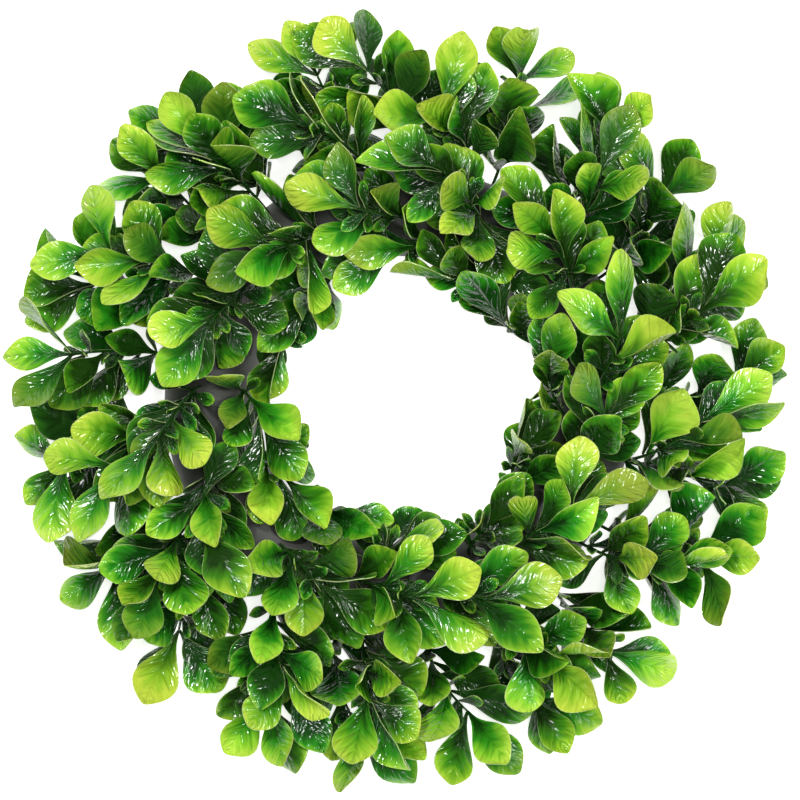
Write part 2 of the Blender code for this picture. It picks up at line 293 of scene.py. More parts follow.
@dataclass
class Leaf:
    """A blade: where its root is, where it points and faces, and its form."""

    root: Vector
    along: Vector
    face: Vector
    length: float
    width: float
    bend: float
    cup: float
    twist: float
    size: Size
    # exposed and low set how much painted shade the blade's tint gets
    exposed: float = 1.0
    low: bool = False

    def place(self, share: float, side: float, margin: float = 0.0) -> Vector:
        """The point at this share of the length, with side from -1 to 1 across it."""
        half = self.width / 2 * outline(share) + margin
        rise = self.bend * share * share * self.length + (self.cup / 2 + self.twist * side * share) * half
        across = self.along.cross(self.face)
        return self.root + self.along * (share * self.length) + across * (side * half) + self.face * rise

    def middle(self) -> Vector:
        """The middle of the blade."""
        return self.place(RULES.middle, 0)

    def cells(self) -> set[tuple[int, int]]:
        """The small squares that the blade covers, seen from the front."""
        found = set()
        for row in range(1, RULES.cell_rows + 1):
            for column in range(-RULES.cell_half_columns, RULES.cell_half_columns + 1):
                place = self.place(row / RULES.cell_rows, column / RULES.cell_half_columns)
                found.add((round(place.x / RULES.cell), round(place.y / RULES.cell)))
        return found

    def shell(self, thickness: float, margin: float = 0.0, left_out: float = 0.0) -> Shell:
        """A coarse closed bmesh of the blade, which the placing tests read."""
        shell = bmesh.new()
        steps = RULES.steps[self.size is Size.SMALL]
        bmesh.ops.create_grid(shell, x_segments=1, y_segments=steps, size=1)
        bmesh.ops.triangulate(shell, faces=shell.faces[:], quad_method="FIXED")
        for vert in shell.verts:
            side, row = vert.co.x, (vert.co.y + 1) / 2
            share = left_out + (RULES.tip - left_out) * row**RULES.step_power
            vert.co = self.place(share, side, margin * row) - self.face * (thickness / 2)
        bmesh.ops.remove_doubles(shell, verts=shell.verts[:], dist=0.00001)
        grown = bmesh.ops.extrude_face_region(shell, geom=shell.faces[:], use_keep_orig=True)
        top = [item for item in grown["geom"] if isinstance(item, bmesh.types.BMVert)]
        bmesh.ops.translate(shell, verts=top, vec=self.face * thickness)
        bmesh.ops.recalc_face_normals(shell, faces=shell.faces[:])
        return shell

    def free_tree(self) -> BVHTree:
        """The search tree of the blade without its root, which its own spray's leaves may cross."""
        return tree_of(self.shell(RULES.thickness, 0.0, RULES.root_left_out))


def tree_of(shell: Shell) -> BVHTree:
    """The search tree of a bmesh, which is freed."""
    tree = BVHTree.FromBMesh(shell)
    shell.free()
    return tree


@dataclass
class Spray:
    """A stem, as points from its foot to its tip, and the leaves on it."""

    name: str
    row: Row
    stem: list
    leaves: list = field(default_factory=list)

    def at(self, share: float) -> tuple[Vector, Vector]:
        """The point at this share of the stem above the ring, and the stem's direction there."""
        pairs = list(zip(self.stem[1:], self.stem[2:]))
        left = share * sum((b - a).length for a, b in pairs)
        for a, b in pairs:
            length = (b - a).length
            if left <= length or b is self.stem[-1]:
                return a + (b - a) * (left / length), (b - a).normalized()
            left -= length
        raise ValueError(f"{self.name} has no stem")

    def samples(self) -> list[Vector]:
        """Points a short step apart along the whole stem."""
        found = []
        for a, b in zip(self.stem, self.stem[1:]):
            steps = max(1, round((b - a).length / STEMS.sample))
            found += [a + (b - a) * (i / steps) for i in range(steps)]
        return found + [self.stem[-1]]

    def flow(self, point: Vector) -> Vector:
        """The way that the row's leaves favour at this point: out or in, and round the ring."""
        out, around = self.row.flow
        away = Vector((point.x, point.y, 0)).normalized()
        return away * out + Vector((-away.y, away.x, 0)) * around

    def draw_leaf(self, whorl: Whorl, size: Size, rng: random.Random, attempt: int) -> Leaf:
        """Draws a leaf at random round the stem.

        Args:
            whorl: the whorl that it grows in.
            size: large or small.
            rng: the leaf's own source of chance.
            attempt: how many were drawn before, because each next one is a little smaller.

        Returns:
            The leaf, not yet tested against the rest.
        """
        row, small, tip = self.row, size is Size.SMALL, whorl.at == 1.0
        scatter = RULES.whorl_scatter
        point, direction = self.at(whorl.at if tip else whorl.at + rng.uniform(-scatter, scatter))
        beside = square_to(any_way(rng) + self.flow(point), direction)
        low, high = row.spread
        if small:
            low, high = high - RULES.small_spread, high + RULES.small_spread
        angle = math.radians(rng.uniform(low, high))
        if tip and rng.random() < RULES.upright_chance:
            angle *= RULES.upright_share
        along = (direction * math.cos(angle) + beside * math.sin(angle)).normalized()
        length = rng.uniform(*row.leaf_length) * (1 - RULES.shrink * attempt / RULES.tries)
        width = length * rng.uniform(*RULES.width_shares)
        bend, cup, twist = (rng.gauss(*ends) for ends in (RULES.bends, RULES.cups, RULES.twists))
        if small:
            length *= RULES.small_share
            width = length * RULES.small_width_share
            bend, cup, twist = (RULES.small_curl * value for value in (bend, cup, twist))
        face = blade_face(point + along * row.leaf_length[0], along, direction, rng)
        if rng.random() < RULES.turned_over:
            face = -face
        root = point - direction * (RING.stem_radius if tip else 0)
        return Leaf(root, along, face, length, width, bend, cup, twist, size)


def blade_face(end: Vector, along: Vector, stem_direction: Vector, rng: random.Random) -> Vector:
    """The way that a blade faces: towards the viewer, off the ring and up the stem, with a stray."""
    outwards = (end - radial(math.atan2(end.y, end.x)) * RING.middle).normalized()
    wanted = Vector((0, 0, RULES.face_up)) + outwards * RULES.face_out + stem_direction * RULES.face_stem
    stray = RULES.face_strays[rng.random() < RULES.turned_chance]
    return square_to(wanted + any_way(rng) * stray, along)


@dataclass
class Placed:
    """A leaf that is placed, with what the tests of the next ones read."""

    name: str
    leaf: Leaf
    middle: Vector
    tree: BVHTree
    free: BVHTree


class Thicket:
    """What is placed so far, and the tests that a new leaf keeps clear of it."""

    def __init__(self, sprays: list[Spray]) -> None:
        """Stores the stems of the sprays, which have no leaves yet."""
        samples = [(sample, spray.name) for spray in sprays for sample in spray.samples()]
        self.owners = [name for _, name in samples]
        self.stems = KDTree(len(samples))
        for index, (sample, _) in enumerate(samples):
            self.stems.insert(sample, index)
        self.stems.balance()
        self.blades: list[Placed] = []
        self.covered: set[tuple[int, int]] = set()

    def clear(self, name: str, leaf: Leaf, strict: bool) -> bool:
        """True if the leaf keeps clear of the ring, of the other sprays and of its own spray's blades.

        Args:
            name: the leaf's own spray.
            leaf: the leaf.
            strict: True if its root too must miss its own spray's blades.
        """
        shell = leaf.shell(RULES.thickness + 2 * RULES.clearance, RULES.clearance)
        if not self.in_bounds(shell):
            shell.free()
            return False
        tree = tree_of(shell)
        return self.off_stems(name, leaf, tree) and self.off_blades(name, leaf, tree, strict)

    def in_bounds(self, shell: Shell) -> bool:
        """True if the blade stays in the wreath's space and off the ring."""
        places = [v.co for v in shell.verts] + [(e.verts[0].co + e.verts[1].co) / 2 for e in shell.edges]
        for place in places:
            off_hole = math.hypot(place.x - RULES.hole_aside, place.y) > hole_limit(place)
            in_plan = off_hole and math.hypot(place.x - RULES.wreath_aside, place.y) < RULES.wreath_radius
            in_height = RULES.lowest < place.z < RULES.highest
            if not (in_plan and in_height) or RING.holds(place, RULES.ring_clearance):
                return False
        return True

    def off_stems(self, name: str, leaf: Leaf, tree: BVHTree) -> bool:
        """True if no other spray's stem is near the blade."""
        near = RING.stem_radius + RULES.clearance
        for sample, index, _ in self.stems.find_range(leaf.middle(), leaf.length * RULES.reach + near):
            if self.owners[index] != name and tree.find_nearest(sample, near)[0]:
                return False
        return True

    def off_blades(self, name: str, leaf: Leaf, tree: BVHTree, strict: bool) -> bool:
        """True if the blade crosses no other one, apart from the roots of its own spray's."""
        middle, free = leaf.middle(), leaf.free_tree()
        for other in self.blades:
            if (middle - other.middle).length > (leaf.length + other.leaf.length) * RULES.reach:
                continue
            if free.overlap(other.free) if other.name == name else tree.overlap(other.tree):
                return False
            if strict and other.name == name and (tree.overlap(other.free) or free.overlap(other.tree)):
                return False
        return True

    def bare_cells(self, leaf: Leaf) -> int:
        """How many small squares, seen from the front, the blade covers that no other one does."""
        return len(leaf.cells() - self.covered)

    def add(self, name: str, leaf: Leaf) -> None:
        """Adds a leaf that is placed."""
        tree = tree_of(leaf.shell(RULES.thickness))
        self.blades.append(Placed(name, leaf, leaf.middle(), tree, leaf.free_tree()))
        self.covered |= leaf.cells()


class Arrangement:
    """Every spray of the wreath with its leaves, placed by one rule and seeded draws."""

    def __init__(self) -> None:
        """Places the stems, then the leaves of the frame's sprays, then the leaves that fill between."""
        self.sprays: list[Spray] = []
        self.place_stems()
        self.thicket = Thicket(self.sprays)
        for size in Size:
            self.place_leaves(size, [tuple(reversed(s.row.whorls)) for s in self.sprays], 0, strict=False)
        for size in Size:
            self.place_leaves(size, [s.row.filling for s in self.sprays], RULES.filling_seed, strict=True)
        self.mend_gaps()
        self.find_exposed()

    def mend_gaps(self) -> None:
        """Covers what is still bare between the sprays, as seen from the front, with low leaves."""
        rng = random.Random(RULES.seed)
        stations = [(spray, *spray.at(share)) for spray in self.sprays for share in RULES.mend_stations]
        limit = round(RULES.mend_radius / RULES.cell)
        spots = [(x, y) for x in range(-limit, limit + 1) for y in range(-limit, limit + 1)]
        rng.shuffle(spots)
        for spot in spots:
            centre = Vector((spot[0] * RULES.cell, spot[1] * RULES.cell, 0))
            nearest = hole_limit(centre) + RULES.mend_margin
            off_hole = math.hypot(centre.x - RULES.hole_aside, centre.y) > nearest
            if off_hole and centre.length <= RULES.mend_radius and spot not in self.thicket.covered:
                self.mend_gap(centre, stations, rng)

    def mend_gap(self, centre: Vector, stations: list, rng: random.Random) -> None:
        """Tries to cover one bare place with a leaf on one of the stems round it.

        Args:
            centre: the place, seen from the front.
            stations: points on the stems, each with its spray and the stem's direction.
            rng: the source of chance.
        """
        near = [s for s in stations if (Vector((s[1].x, s[1].y, 0)) - centre).length < RULES.mend_reach]
        rng.shuffle(near)
        for spray, point, direction in near[: RULES.mend_tries]:
            length = rng.uniform(*spray.row.leaf_length) * rng.uniform(*RULES.mend_lengths)
            flat = centre - Vector((point.x, point.y, 0))
            level = min(flat.length / (RULES.middle * length), 1.0)
            rise = math.sqrt(1 - level * level) * rng.choice(RULES.mend_rises)
            along = (flat.normalized() * level + Vector((0, 0, rise))).normalized()
            width = length * rng.uniform(*RULES.width_shares)
            bend, cup, twist = (rng.gauss(*ends) for ends in (RULES.bends, RULES.cups, RULES.twists))
            face = blade_face(point + along * length, along, direction, rng)
            leaf = Leaf(point, along, face, length, width, bend, cup, twist, Size.LARGE, low=True)
            if self.thicket.clear(spray.name, leaf, strict=True):
                self.thicket.add(spray.name, leaf)
                spray.leaves.append(leaf)
                return

    def find_exposed(self) -> None:
        """Works out which share of each leaf has no other leaf in front of it, which sets the leaf's painted
        shade.
        """
        heights: dict[tuple[int, int], float] = {}
        placed = [(blade.leaf, blade.leaf.cells()) for blade in self.thicket.blades]
        for leaf, cells in placed:
            for cell in cells:
                heights[cell] = max(heights.get(cell, 0.0), leaf.middle().z)
        for leaf, cells in placed:
            leaf.exposed = sum(heights[cell] <= leaf.middle().z for cell in cells) / len(cells)

    def draw_stem(self, row: Row, number: int, rng: random.Random) -> list[Vector]:
        """The points of a stem that leaves the ring square to it and then leans."""
        scatter = STEMS.place_scatter
        turn = math.tau * (number + row.phase + rng.uniform(-scatter, scatter)) / row.count
        elevation = math.radians(row.elevation + rng.uniform(-row.scatter, row.scatter))
        base, square = RING.surface(turn, elevation)
        around = Vector((-math.sin(turn), math.cos(turn), 0))
        over = square.cross(around)
        sway = math.radians(row.sway)
        lean_around, lean_over = (math.radians(angle) for angle in row.lean)
        lean = around * (lean_around + rng.uniform(-sway, sway))
        lean += over * (lean_over + STEMS.sway_up_share * rng.uniform(-sway, sway))
        half = (row.stem_length * rng.uniform(*STEMS.lengths) - RING.stem_collar) / 2
        collar = base + square * RING.stem_collar
        bend = collar + (square + lean * STEMS.lean_first).normalized() * half
        tip = bend + (square + lean * STEMS.lean_last).normalized() * half
        return [base - square * RING.stem_foot, collar, bend, tip]

    def place_stems(self) -> None:
        """Stands every stem in the ring, each redrawn until it keeps off the others."""
        taken: list[Vector] = []
        for row_number, row in enumerate(ROWS):
            for number in range(row.count):
                rng = random.Random(RULES.seed + 10000 * row_number + 100 * number)
                for _ in range(STEMS.tries):
                    spray = Spray(f"{row.name}_{number + 1:02d}", row, self.draw_stem(row, number, rng))
                    samples = spray.samples()
                    spacing = STEMS.spacing * RING.stem_radius
                    if all((a - b).length > spacing for b in taken for a in samples):
                        break
                taken += samples
                self.sprays.append(spray)

    def place_leaves(self, size: Size, whorls: list, first_seed: int, strict: bool) -> None:
        """Puts leaves of one size on every spray, whorl by whorl.

        Args:
            size: large or small.
            whorls: the whorls of each spray, in the order that they are filled.
            first_seed: what is added to the seed of each leaf.
            strict: True if the roots too must miss their own spray's blades.
        """
        small = size is Size.SMALL
        for number, (spray, levels) in enumerate(zip(self.sprays, whorls), 1):
            for level, whorl in enumerate(levels):
                for index in range(whorl.small if small else whorl.large):
                    seed = RULES.seed + 1000 * number + 100 * small + 10 * level + index
                    self.place_leaf(spray, whorl, size, seed + first_seed, strict)

    def place_leaf(self, spray: Spray, whorl: Whorl, size: Size, seed: int, strict: bool) -> None:
        """Adds the best leaf of a few that keep clear of the rest, if there is one.

        The best large leaf covers the most bare squares, and the best small one is nearest to the viewer.

        Args:
            spray: the spray that it grows on.
            whorl: the whorl that it grows in.
            size: large or small.
            seed: the leaf's own seed.
            strict: True if its root too must miss its own spray's blades.
        """
        rng = random.Random(seed)
        choices = []
        for attempt in range(RULES.tries):
            leaf = spray.draw_leaf(whorl, size, rng, attempt)
            if self.thicket.clear(spray.name, leaf, strict):
                worth = leaf.middle().z if size is Size.SMALL else self.thicket.bare_cells(leaf)
                choices.append((worth, -attempt, leaf))
            if len(choices) == RULES.choices[size is Size.SMALL]:
                break
        if choices:
            leaf = max(choices, key=lambda choice: choice[:2])[2]
            self.thicket.add(spray.name, leaf)
            spray.leaves.append(leaf)


def hex_colour(code: str) -> tuple[float, float, float, float]:
    """Turns an sRGB hex colour, such as 4E9A2B, to linear."""
    channels = (int(code[i : i + 2], 16) / 255 for i in (0, 2, 4))
    linear = [c / 12.92 if c <= 0.04045 else ((c + 0.055) / 1.055) ** 2.4 for c in channels]
    return (*linear, 1.0)


def add_node(tree: NodeTree, kind: str, inputs: dict | None = None, **settings) -> bpy.types.Node:
    """Adds a node, and returns it.

    Args:
        tree: the material's node tree.
        kind: the node's type.
        inputs: a value or another node's output for each named or numbered input.
        settings: the node's own settings.
    """
    node = tree.nodes.new(kind)
    for name, value in settings.items():
        setattr(node, name, value)
    for name, value in (inputs or {}).items():
        if isinstance(value, bpy.types.NodeSocket):
            tree.links.new(value, node.inputs[name])
        else:
            node.inputs[name].default_value = value
    return node


def maths(tree: NodeTree, operation: str, *values: float | Socket) -> Socket:
    """The result of a math node on these values and sockets."""
    return add_node(tree, "ShaderNodeMath", dict(enumerate(values)), operation=operation).outputs[0]


def span(tree: NodeTree, value: Socket, ends: tuple, to: tuple = (0.0, 1.0)) -> Socket:
    """The value's place between the ends, from 0 to 1 or between two others."""
    return add_node(tree, "ShaderNodeMapRange", dict(enumerate((value, *ends, *to)))).outputs[0]


def blend(tree: NodeTree, share: Socket, first: tuple | Socket, second: tuple | Socket) -> Socket:
    """A mix of two colours, with this share of the second."""
    return add_node(tree, "ShaderNodeMix", {0: share, 6: first, 7: second}, data_type="RGBA").outputs[2]


def noise(tree: NodeTree, spot: Socket, scale: float, detail: float, **more: float) -> Socket:
    """A noise at this spot, with more of its inputs by name."""
    inputs = {"Vector": spot, "Scale": scale, "Detail": detail} | more
    return add_node(tree, "ShaderNodeTexNoise", inputs).outputs[0]


def new_material(name: str) -> tuple[Material, NodeTree, bpy.types.Node]:
    """A new material, its node tree and its Principled shader."""
    made = bpy.data.materials.new(name)
    made.use_nodes = True
    return made, made.node_tree, made.node_tree.nodes["Principled BSDF"]


@dataclass(frozen=True)
class LeafSpot:
    """Where on its leaf a shaded point is, and the leaf's own draws, each from 0 to 1; lime also carries the
    leaf's painted shade.
    """

    tree: NodeTree
    aside: Socket
    share: Socket
    under: Socket
    lime: Socket
    hue: Socket
    bright: Socket


@dataclass(frozen=True)
class Noise:
    """A noise that runs out from the midrib with the side veins, and differs from leaf to leaf."""

    scale: float
    detail: float
    roughness: float = 0.45
    distortion: float = 0.4
    along: float = 5.0
    slant: float = -1.6
    across: float = 0.9
    apart: float = 57.0

    def build(self, spot: LeafSpot) -> Socket:
        """Builds the noise, which is about 0.5 on average."""
        tree = spot.tree
        along = maths(tree, "MULTIPLY", spot.share, self.along)
        slant = maths(tree, "MULTIPLY_ADD", spot.aside, self.slant, along)
        across = maths(tree, "MULTIPLY", spot.aside, self.across)
        apart = maths(tree, "MULTIPLY", spot.bright, self.apart)
        grid = add_node(tree, "ShaderNodeCombineXYZ", {0: slant, 1: across, 2: apart})
        form = {"Roughness": self.roughness, "Distortion": self.distortion}
        return noise(tree, grid.outputs[0], self.scale, self.detail, **form)


@dataclass(frozen=True)
class LeafPlastic:
    """Soft polyethylene, moulded with veins and tinted from dark green to lime by a spray.

    To the eye it is a glossy leaf whose reflections break on shallow veins, dark along its middle and
    yellow-green towards its tip, with a pale line where the thin rim catches the light.
    """

    tints: tuple = ((0.0, "153F0A"), (0.34, "398A16"), (0.68, "8EC82E"), (1.0, "C0E048"))
    # the pale colour of the painted highlight along the rim
    rim: str = "DCEBA4"
    under: str = "26501C"
    edge_lift: float = 0.28
    streak_lift: float = 0.50
    lime_lift: float = 0.85
    tone_ends: tuple = (0.95, 1.70)
    rim_highlight_ends: tuple = (0.970, 1.0)
    rim_highlight_share: float = 0.60
    under_share: float = 0.55
    hues: tuple = (0.485, 0.515)
    values: tuple = (0.82, 1.12)
    streaks: Noise = Noise(1.3, 1.6)
    puckers: Noise = Noise(2.6, 0.6)
    roughness: tuple = (0.07, 0.17)
    streak_ends: tuple = (0.3, 0.7)
    ior: float = 1.5
    relief_mm: float = 0.75
    veins_a_side: float = 7.0
    vein_slant: float = -9.0
    vein_ends: tuple = (0.2, 1.0)
    vein_depth: float = -0.25
    rib_depth: float = -0.5
    rib_width: float = 0.12
    pucker_height: float = 1.5

    def make(self) -> Material:
        """Builds the material on the blade's own place and tint attributes."""
        made, tree, shader = new_material("moulded_leaf_plastic")
        place = add_node(tree, "ShaderNodeAttribute", attribute_name="leaf_place")
        tint = add_node(tree, "ShaderNodeAttribute", attribute_name="leaf_tint")
        where = add_node(tree, "ShaderNodeSeparateXYZ", {0: place.outputs["Vector"]}).outputs
        tints = add_node(tree, "ShaderNodeSeparateXYZ", {0: tint.outputs["Vector"]}).outputs
        spot = LeafSpot(tree, maths(tree, "ABSOLUTE", where[0]), where[1], where[2], *tints)
        streaks = self.streaks.build(spot)
        tree.links.new(self.colour(spot, self.tone(spot, streaks)), shader.inputs["Base Color"])
        rough = span(tree, streaks, self.streak_ends, self.roughness)
        tree.links.new(rough, shader.inputs["Roughness"])
        tree.links.new(self.relief(spot, self.puckers.build(spot)), shader.inputs["Normal"])
        shader.inputs["IOR"].default_value = self.ior
        return made

    def tone(self, spot: LeafSpot, streaks: Socket) -> Socket:
        """How far the tint has gone, from 0 at a dark base to 1 at a lime tip."""
        tree = spot.tree
        out = maths(tree, "MULTIPLY", maths(tree, "POWER", spot.aside, 2.0), self.edge_lift)
        reach = maths(tree, "ADD", spot.share, out)
        stray = maths(tree, "MULTIPLY_ADD", streaks, self.streak_lift, reach)
        # the leaf's lime value brings in its painted shade
        return span(tree, maths(tree, "MULTIPLY_ADD", spot.lime, self.lime_lift, stray), self.tone_ends)

    def colour(self, spot: LeafSpot, tone: Socket) -> Socket:
        """The tint from base to tip, a painted highlight along the rim and the dull underside."""
        tree = spot.tree
        ramp = add_node(tree, "ShaderNodeValToRGB", {0: tone})
        while len(ramp.color_ramp.elements) < len(self.tints):
            ramp.color_ramp.elements.new(0.5)
        for stop, (at, code) in zip(ramp.color_ramp.elements, self.tints):
            stop.position, stop.color = at, hex_colour(code)
        # painted highlight: a pale line along the rim, where the thin edge would catch the light
        rim = span(tree, spot.aside, self.rim_highlight_ends, (0.0, self.rim_highlight_share))
        rim_highlighted = blend(tree, rim, ramp.outputs[0], hex_colour(self.rim))
        inputs = {"Hue": span(tree, spot.hue, (0.0, 1.0), self.hues), "Color": rim_highlighted}
        inputs["Value"] = span(tree, spot.bright, (0.0, 1.0), self.values)
        varied = add_node(tree, "ShaderNodeHueSaturation", inputs).outputs[0]
        dull = maths(tree, "MULTIPLY", spot.under, self.under_share)
        return blend(tree, dull, varied, hex_colour(self.under))

    def relief(self, spot: LeafSpot, puckers: Socket) -> Socket:
        """Shallow moulded veins: a midrib, side veins that slant forwards, and a puckered skin."""
        tree = spot.tree
        along = maths(tree, "MULTIPLY", spot.share, math.tau * self.veins_a_side)
        slant = maths(tree, "MULTIPLY_ADD", spot.aside, self.vein_slant, along)
        veins = span(tree, maths(tree, "SINE", slant), self.vein_ends, (0.0, self.vein_depth))
        rib = span(tree, spot.aside, (0.0, self.rib_width), (self.rib_depth, 0.0))
        height = maths(tree, "MULTIPLY_ADD", puckers, self.pucker_height, maths(tree, "ADD", veins, rib))
        inputs = {"Strength": 1.0, "Distance": self.relief_mm * MM, "Height": height}
        return add_node(tree, "ShaderNodeBump", inputs).outputs[0]


@dataclass(frozen=True)
class RingPlastic:
    """Matt polypropylene, moulded in one dark grey: a smooth tube-like ring with a faint even grain."""

    colour: str = "2F312D"
    light: str = "3C3E38"
    roughness: float = 0.55
    ior: float = 1.49
    patch_mm: float = 14.0
    grain_mm: float = 0.6
    grain_strength: float = 0.15
    grain_depth_mm: float = 0.1

    def make(self) -> Material:
        """Builds the material on object coordinates."""
        made, tree, shader = new_material("moulded_ring_plastic")
        spot = add_node(tree, "ShaderNodeTexCoord").outputs["Object"]
        patches = noise(tree, spot, 1 / (self.patch_mm * MM), 3.0)
        mixed = blend(tree, patches, hex_colour(self.colour), hex_colour(self.light))
        tree.links.new(mixed, shader.inputs["Base Color"])
        grain = noise(tree, spot, 1 / (self.grain_mm * MM), 2.0)
        inputs = {"Strength": self.grain_strength, "Distance": self.grain_depth_mm * MM, "Height": grain}
        tree.links.new(add_node(tree, "ShaderNodeBump", inputs).outputs[0], shader.inputs["Normal"])
        shader.inputs["Roughness"].default_value = self.roughness
        shader.inputs["IOR"].default_value = self.ior
        return made


@dataclass(frozen=True)
class StudioPaper:
    """White seamless paper, lit from behind so that shadows stay faint."""

    colour: str = "F4F4F2"
    roughness: float = 0.9
    glow: float = 0.85

    def make(self) -> Material:
        """Builds the material."""
        made, _, shader = new_material("studio_paper")
        shader.inputs["Base Color"].default_value = hex_colour(self.colour)
        shader.inputs["Roughness"].default_value = self.roughness
        shader.inputs["Emission Color"].default_value = hex_colour(self.colour)
        shader.inputs["Emission Strength"].default_value = self.glow
        return made


def finish_object(name: str, shell: Shell, material: Material) -> bpy.types.Object:
    """Turns a bmesh to an object at the origin.

    Args:
        name: the object's name.
        shell: the bmesh, which is freed.
        material: its only material.

    Returns:
        The object, in the scene.
    """
    mesh = bpy.data.meshes.new(name)
    shell.to_mesh(mesh)
    shell.free()
    mesh.materials.append(material)
    made = bpy.data.objects.new(name, mesh)
    bpy.context.scene.collection.objects.link(made)
    return made


@dataclass
class Ring:
    """The half-round ring that holds the sprays."""

    form: RingForm
    steps: int = 120
    arc_steps: int = 20
    edge_radius: float = 0.0015
    edge_steps: int = 3
    sharp_degrees: float = 40

    def build(self, material: Material) -> bpy.types.Object:
        """Spins the half-round section about the middle of the hole, with its back edges rounded."""
        shell = bmesh.new()
        corners = []
        for step in range(self.arc_steps + 1):
            elevation = math.pi * step / self.arc_steps
            out, up = self.form.half_width * math.cos(elevation), self.form.height * math.sin(elevation)
            corners.append(shell.verts.new((self.form.middle + out, 0, up)))
        edges = [shell.edges.new(pair) for pair in zip(corners, corners[1:] + corners[:1])]
        turning = {"cent": (0, 0, 0), "axis": (0, 0, 1), "angle": math.tau, "use_merge": True}
        bmesh.ops.spin(shell, geom=corners + edges, steps=self.steps, **turning)
        bmesh.ops.remove_doubles(shell, verts=shell.verts[:], dist=0.00001)
        sharp = [e for e in shell.edges if e.calc_face_angle(0) > math.radians(self.sharp_degrees)]
        rounding = {"offset": self.edge_radius, "segments": self.edge_steps, "profile": 0.5}
        bmesh.ops.bevel(shell, geom=sharp, affect="EDGES", material=-1, **rounding)
        bmesh.ops.recalc_face_normals(shell, faces=shell.faces[:])
        for face in shell.faces:
            face.smooth = True
        return finish_object("ring", shell, material)


def fine_share(row: float) -> float:
    """How far along the blade a row of its fine grid lies: the rows are closer towards the round tip."""
    return RULES.tip * (row + math.sin(math.pi / 2 * row)) / 2


@dataclass(frozen=True)
class BladeForm:
    """How a fine blade departs from the coarse one, and the shares of that which it tries to keep."""

    wave_heights: tuple = (0.02, 0.07)
    wave_counts: tuple = (0.8, 1.8)
    keeps: tuple = (1.0, 0.75, 0.5, 0.25, 0.0)
    probe_grid: tuple = (4, 6)
    reach: float = 0.6
    slim_until: float = 0.55
    slim_power: float = 0.45
    tip_from: float = 0.8
    tip_share: float = 0.2
    tip_growth: float = 0.045
    tip_curl: float = 0.5
    fold_level: float = 0.5
    fold_round: float = 0.65
    fold_sharp: float = 0.75
    fold_drop: float = 0.7
    crease: float = 0.9


@dataclass(frozen=True)
class TintRules:
    """How lime a blade is, by chance and by painted shade: blades deep in the wreath, covered by others or
    low are painted darker.
    """

    # how deep a blade lies in the wreath, which sets its painted shade
    outwards: float = 0.088
    inwards: float = 0.045
    upwards: float = 0.070
    depth_from: float = 0.45
    depth_span: float = 0.5
    least: float = -0.14
    # painted shade: deeper blades and blades covered by others get less lime
    painted_depth_shade: float = 0.25
    painted_cover_shade: float = 0.45
    stray: float = 0.16
    # painted shade: low blades that fill gaps get less lime
    painted_low_shade: float = 0.25
    small: tuple = (0.0, 0.22)
    stem: tuple = (0.05, 0.5, 0.3)


FORM = BladeForm()
TINTS = TintRules()


